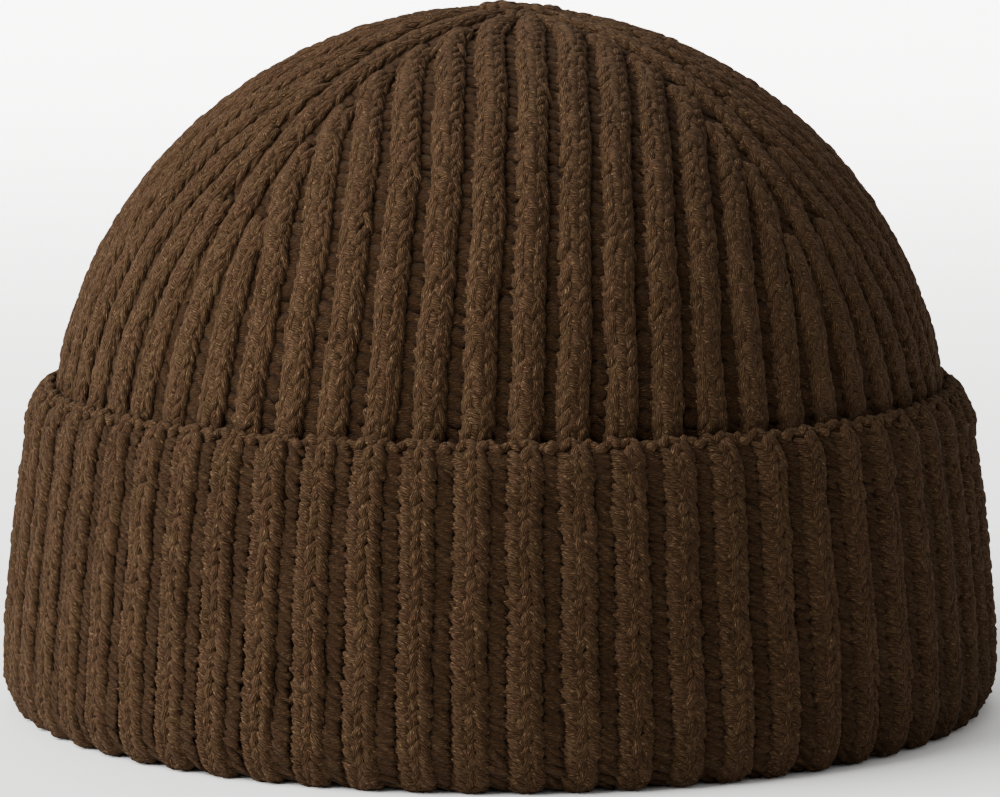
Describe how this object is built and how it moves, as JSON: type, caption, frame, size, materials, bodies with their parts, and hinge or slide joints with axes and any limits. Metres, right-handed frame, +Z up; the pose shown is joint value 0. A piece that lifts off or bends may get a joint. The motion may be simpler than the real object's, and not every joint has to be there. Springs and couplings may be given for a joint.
{
  "type": "knit hat",
  "caption": "Round ribbed knit cap with a four-panel drawn-in crown and a wide turned-up cuff, hollow and open below for a head.",
  "frame": {"origin": "middle of the round rim, in the level plane that the cuff's folded lower edge rests on", "axes": "+Z up along the cap's axis to the drawn-in top, -Y toward the front panel that the picture shows, +X to that panel's right"},
  "size_m": [0.2004, 0.2004, 0.1395],
  "materials": {
    "crown_knit": "chunky two by one rib knit of soft two-ply dark brown yarn, matt with fine fuzz",
    "cuff_knit": "the same rib knit seen from its other side, matt with fine fuzz"
  },
  "bodies": {
    "root": {"crown": "crown_knit", "cuff": "cuff_knit"}
  },
  "joints": []
}
